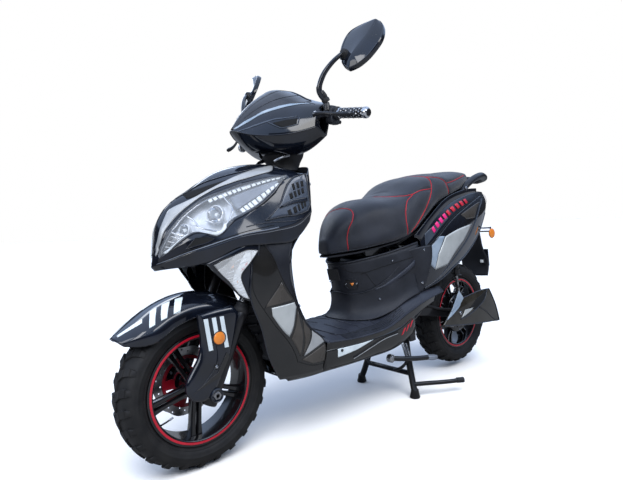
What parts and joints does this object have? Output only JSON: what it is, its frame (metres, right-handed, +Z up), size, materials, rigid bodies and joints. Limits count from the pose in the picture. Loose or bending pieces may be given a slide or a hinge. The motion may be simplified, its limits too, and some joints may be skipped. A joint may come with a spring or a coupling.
{
  "type": "moped scooter",
  "caption": "Electric moped scooter on its centre stand: step-through body, two-level seat, telescopic fork, hub-motor rear wheel, mirrors and stands.",
  "frame": {"origin": "on the ground, at the centre of the machine's length and width", "axes": "+X forward, +Y to the rider's left, +Z up"},
  "size_m": [1.883, 0.759, 1.3249],
  "materials": {
    "gloss_black": "high-gloss painted plastic",
    "matte_black": "fine-grained matte plastic",
    "frame_paint": "satin black paint",
    "tyre_rubber": "matte block tread",
    "small_rubber": "matte",
    "rim_alloy": "satin black lacquered alloy",
    "brushed_metal": "brushed",
    "chrome": "bright chrome",
    "chromed_plastic": "metallised plastic",
    "clear_lens": "clear polycarbonate",
    "smoked_lens": "smoked polycarbonate",
    "seat_vinyl": "vinyl cover over foam with red piping",
    "red_paint": "red paint",
    "battery_case": "grey coated case"
  },
  "bodies": {
    "chassis": {"frame": "frame_paint", "front_cowl": "gloss_black", "headlight_lens": "clear_lens", "headlight_unit": "chromed_plastic", "leg_shield_left": "gloss_black", "leg_shield_right": "gloss_black", "turn_signal_left": "clear_lens", "turn_signal_right": "clear_lens", "inner_leg_shield": "matte_black", "inner_fender": "matte_black", "footboard": "matte_black", "floor_skirt": "gloss_black", "battery": "battery_case", "controller": "battery_case", "under_seat_cover": "matte_black", "storage_tub": "matte_black", "side_panel_left": "gloss_black", "side_panel_right": "gloss_black", "tail_light": "clear_lens", "grab_rail": "matte_black", "plate_holder": "matte_black"},
    "charge_flap": {"charge_flap": "small_rubber"},
    "ignition_key": {"ignition_key": "brushed_metal"},
    "seat": {"seat_cushion": "seat_vinyl", "seat_pan": "matte_black"},
    "steering": {"steering_stem": "brushed_metal", "handlebar": "frame_paint", "handlebar_cover": "gloss_black", "visor": "smoked_lens", "grip_left": "chrome", "switch_pod_left": "matte_black", "switch_pod_right": "matte_black"},
    "fork": {"fork_leg_left": "frame_paint", "fork_leg_right": "frame_paint", "front_axle": "brushed_metal", "front_fender": "gloss_black", "front_caliper": "red_paint"},
    "front_wheel": {"front_tyre": "tyre_rubber", "front_rim": "rim_alloy", "front_disc": "brushed_metal"},
    "swingarm": {"swingarm": "frame_paint", "motor_axle": "brushed_metal", "swingarm_cover": "gloss_black"},
    "rear_wheel": {"rear_tyre": "tyre_rubber", "hub_motor": "rim_alloy"},
    "shock_body": {"shock_body": "frame_paint", "shock_spring": "red_paint"},
    "shock_rod": {"shock_rod": "brushed_metal"},
    "centre_stand": {"centre_stand": "frame_paint"},
    "side_stand": {"side_stand": "frame_paint"},
    "brake_lever_left": {"brake_lever_left": "frame_paint"},
    "brake_lever_right": {"brake_lever_right": "frame_paint"},
    "throttle_grip": {"throttle_grip": "chrome"},
    "mirror_arm_left": {"mirror_arm_left": "matte_black"},
    "mirror_head_left": {"mirror_head_left": "matte_black"},
    "mirror_arm_right": {"mirror_arm_right": "matte_black"},
    "mirror_head_right": {"mirror_head_right": "matte_black"},
    "horn_button": {"horn_button": "small_rubber"},
    "turn_switch": {"turn_switch": "small_rubber"},
    "start_button": {"start_button": "red_paint"}
  },
  "joints": [
    {"name": "steering_turn", "type": "hinge", "parent": "chassis", "child": "steering", "pos_m": [0.45048, 0, 0.68535], "axis": [-0.4384, 0, 0.8988], "range_deg": [-25, 25]},
    {"name": "fork_travel", "type": "slide", "parent": "steering", "child": "fork", "axis": [-0.4384, 0, 0.8988], "range_m": [0, 0.05], "stiffness_N_per_m": 9000, "springref_m": -0.045},
    {"name": "front_wheel_spin", "type": "hinge", "parent": "fork", "child": "front_wheel", "pos_m": [0.705, 0, 0.2365], "axis": [0, 1, 0], "continuous": true},
    {"name": "swingarm_pivot", "type": "hinge", "parent": "chassis", "child": "swingarm", "pos_m": [-0.25, 0, 0.33], "axis": [0, 1, 0], "range_deg": [0, 7], "stiffness_Nm_per_rad": 1500, "springref_deg": -1.72},
    {"name": "rear_wheel_spin", "type": "hinge", "parent": "swingarm", "child": "rear_wheel", "pos_m": [-0.645, 0, 0.258], "axis": [0, 1, 0], "continuous": true},
    {"name": "shock_swing", "type": "hinge", "parent": "chassis", "child": "shock_body", "pos_m": [-0.5, 0.118, 0.6], "axis": [0, 1, 0], "range_deg": [0, 2]},
    {"name": "shock_slide", "type": "slide", "parent": "shock_body", "child": "shock_rod", "axis": [0.1746, 0, 0.9846], "range_m": [0, 0.037], "deforming": ["shock_spring"]},
    {"name": "centre_stand_fold", "type": "hinge", "parent": "chassis", "child": "centre_stand", "pos_m": [-0.19, 0, 0.235], "axis": [0, 1, 0], "range_deg": [0, 72]},
    {"name": "side_stand_fold", "type": "hinge", "parent": "chassis", "child": "side_stand", "pos_m": [-0.03, 0.14, 0.185], "axis": [0, -0.9781, -0.2079], "range_deg": [0, 70], "stiffness_Nm_per_rad": 3, "springref_deg": -28.65},
    {"name": "seat_hinge", "type": "hinge", "parent": "chassis", "child": "seat", "pos_m": [0.195, 0, 0.572], "axis": [0, 1, 0], "range_deg": [0, 45]},
    {"name": "charge_flap_hinge", "type": "hinge", "parent": "chassis", "child": "charge_flap", "pos_m": [0.1225, 0, 0.535], "axis": [0, -1, 0], "range_deg": [0, 100]},
    {"name": "key_turn", "type": "hinge", "parent": "chassis", "child": "ignition_key", "pos_m": [0.3165, -0.08, 0.8], "axis": [1, 0, 0], "range_deg": [0, 90]},
    {"name": "brake_lever_left_pull", "type": "hinge", "parent": "steering", "child": "brake_lever_left", "pos_m": [0.358, 0.205, 1.045], "axis": [0, 0, 1], "range_deg": [0, 9], "stiffness_Nm_per_rad": 1.5, "springref_deg": -8.59},
    {"name": "brake_lever_right_pull", "type": "hinge", "parent": "steering", "child": "brake_lever_right", "pos_m": [0.358, -0.205, 1.045], "axis": [0, 0, -1], "range_deg": [0, 9], "stiffness_Nm_per_rad": 1.5, "springref_deg": -8.59},
    {"name": "throttle_twist", "type": "hinge", "parent": "steering", "child": "throttle_grip", "pos_m": [0.29424, -0.23847, 1.05139], "axis": [-0.1459, -0.975, -0.1677], "range_deg": [0, 70], "stiffness_Nm_per_rad": 0.3, "springref_deg": -17.19},
    {"name": "mirror_arm_left_swivel", "type": "hinge", "parent": "steering", "child": "mirror_arm_left", "pos_m": [0.32, 0.219, 1.09], "axis": [0, 0, 1], "range_deg": [-20, 20]},
    {"name": "mirror_head_left_tilt", "type": "hinge", "parent": "mirror_arm_left", "child": "mirror_head_left", "pos_m": [0.291, 0.274, 1.231], "axis": [0, 1, 0], "range_deg": [-10, 10]},
    {"name": "mirror_arm_right_swivel", "type": "hinge", "parent": "steering", "child": "mirror_arm_right", "pos_m": [0.32, -0.219, 1.09], "axis": [0, 0, 1], "range_deg": [-20, 20]},
    {"name": "mirror_head_right_tilt", "type": "hinge", "parent": "mirror_arm_right", "child": "mirror_head_right", "pos_m": [0.291, -0.274, 1.231], "axis": [0, 1, 0], "range_deg": [-10, 10]},
    {"name": "horn_press", "type": "slide", "parent": "steering", "child": "horn_button", "axis": [1, 0, 0], "range_m": [0, 0.0012], "stiffness_N_per_m": 300, "springref_m": -0.002},
    {"name": "turn_switch_slide", "type": "slide", "parent": "steering", "child": "turn_switch", "axis": [0, 1, 0], "range_m": [-0.003, 0.003], "stiffness_N_per_m": 150},
    {"name": "start_press", "type": "slide", "parent": "steering", "child": "start_button", "axis": [1, 0, 0], "range_m": [0, 0.0012], "stiffness_N_per_m": 300, "springref_m": -0.002}
  ],
  "couplings": [
    {"joint": "shock_swing", "follows": "swingarm_pivot", "ratio": 0.1844},
    {"joint": "shock_slide", "follows": "swingarm_pivot", "m_per_rad": 0.296}
  ]
}
